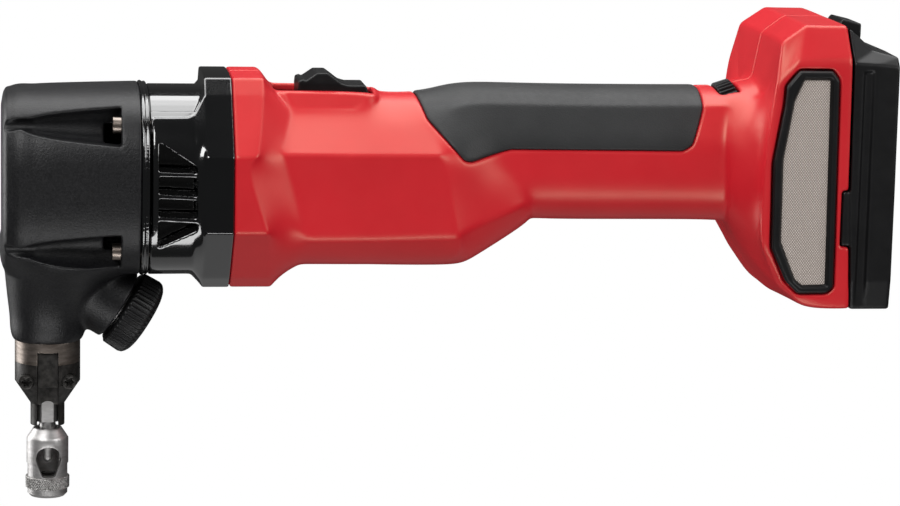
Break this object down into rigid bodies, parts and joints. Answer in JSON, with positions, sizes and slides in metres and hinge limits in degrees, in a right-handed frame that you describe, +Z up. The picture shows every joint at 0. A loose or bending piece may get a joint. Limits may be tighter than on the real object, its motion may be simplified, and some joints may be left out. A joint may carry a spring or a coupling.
{
  "type": "nibbler tool",
  "caption": "Cordless barrel-grip sheet metal nibbler: gearbox head with a swivelling die carrier, red clamshell body, slide switch, speed dial, filtered foot and battery rails.",
  "frame": {"origin": "the punch and die axis at the bottom face of the die", "axes": "+X along the barrel from the gearbox head to the battery rails, +Z up along the punch axis away from the sheet, +Y to the far side, so the near side with the plain label panel faces -Y"},
  "size_m": [0.3105, 0.082, 0.1734],
  "materials": {
    "red_shell": "satin moulded red",
    "grip_rubber": "fine-grained soft grip",
    "head_coat": "coarse black powder coat",
    "gloss_black": "polished black",
    "satin_black": "satin black",
    "black_oxide": "blackened steel",
    "bright_steel": "ground satin",
    "warm_steel": "turned, warm tone",
    "rough_steel": "knurled, rough",
    "filter_mesh": "diagonal wire-cloth weave",
    "bronze": "sintered bronze",
    "copper": "enamelled copper",
    "cast_alloy": "die cast",
    "lamination": "stacked laminations",
    "pot_green": "moulded",
    "wire_red": "silicone insulation",
    "contact": "plated"
  },
  "bodies": {
    "housing": {"head_housing": "head_coat", "head_screws": "warm_steel", "head_seal": "gloss_black", "clamp_washer": "bright_steel", "crank_bearing_front": "bright_steel", "crank_bearing_rear": "bright_steel", "bearing_plate": "satin_black", "stator_core": "lamination", "stator_winding": "copper", "motor_bearing_front": "bright_steel", "motor_bearing_rear": "bright_steel", "motor_end_cap": "satin_black", "fan_housing": "gloss_black", "shell_near": "red_shell", "shell_far": "red_shell", "shell_screws": "black_oxide", "grip_pad_near": "grip_rubber", "grip_pad_far": "grip_rubber", "filter_frame_near": "satin_black", "filter_frame_far": "satin_black", "filter_mesh_near": "filter_mesh", "filter_mesh_far": "filter_mesh", "battery_interface": "satin_black", "rail_strips": "bright_steel", "terminal_block": "satin_black", "terminal_blades": "contact", "latch_block": "satin_black", "switch_module": "satin_black", "dial_potentiometer": "pot_green", "electronics_module": "satin_black", "heat_sink": "cast_alloy", "wire_leads": "wire_red"},
    "switch": {"switch_slider": "satin_black", "switch_rod": "satin_black"},
    "dial": {"speed_dial": "satin_black"},
    "knob": {"clamp_knob": "satin_black", "clamp_screw": "bright_steel"},
    "die_head": {"die_body": "bright_steel", "die_collar": "rough_steel", "die_insert": "black_oxide", "punch_guide": "black_oxide", "guide_clip": "black_oxide", "die_carrier": "black_oxide", "carrier_sleeve": "bright_steel", "carrier_screws": "black_oxide", "carrier_ring": "warm_steel", "ram_bushing": "bronze"},
    "punch": {"punch": "bright_steel"},
    "ram": {"ram": "bright_steel"},
    "crank": {"crank_shaft": "bright_steel", "crank_roller": "bright_steel", "crank_gear": "rough_steel"},
    "rotor": {"motor_shaft": "bright_steel", "rotor_core": "lamination", "cooling_fan": "satin_black"}
  },
  "joints": [
    {"name": "switch_slide", "type": "slide", "parent": "housing", "child": "switch", "axis": [-1, 0, 0], "range_m": [0, 0.0075]},
    {"name": "speed_dial_turn", "type": "hinge", "parent": "housing", "child": "dial", "pos_m": [0.2449, 0, 0.1336], "axis": [0.9511, 0, 0.309], "range_deg": [-135, 135]},
    {"name": "clamp_knob_turn", "type": "hinge", "parent": "housing", "child": "knob", "pos_m": [0.0259, 0, 0.0684], "axis": [0.8462, 0, -0.5329], "range_deg": [0, 180]},
    {"name": "die_head_swivel", "type": "hinge", "parent": "housing", "child": "die_head", "pos_m": [0, 0, 0.04], "axis": [0, 0, 1], "continuous": true},
    {"name": "ram_stroke", "type": "slide", "parent": "housing", "child": "ram", "axis": [0, 0, 1], "range_m": [-0.006, 0]},
    {"name": "punch_stroke", "type": "slide", "parent": "die_head", "child": "punch", "axis": [0, 0, 1], "range_m": [-0.006, 0]},
    {"name": "crank_turn", "type": "hinge", "parent": "housing", "child": "crank", "pos_m": [0.01, 0, 0.097], "axis": [1, 0, 0], "continuous": true},
    {"name": "rotor_turn", "type": "hinge", "parent": "housing", "child": "rotor", "pos_m": [0.09, 0, 0.1146], "axis": [1, 0, 0], "continuous": true}
  ],
  "couplings": [
    {"joint": "punch_stroke", "follows": "ram_stroke", "ratio": 1},
    {"joint": "crank_turn", "follows": "rotor_turn", "ratio": -0.22222}
  ]
}
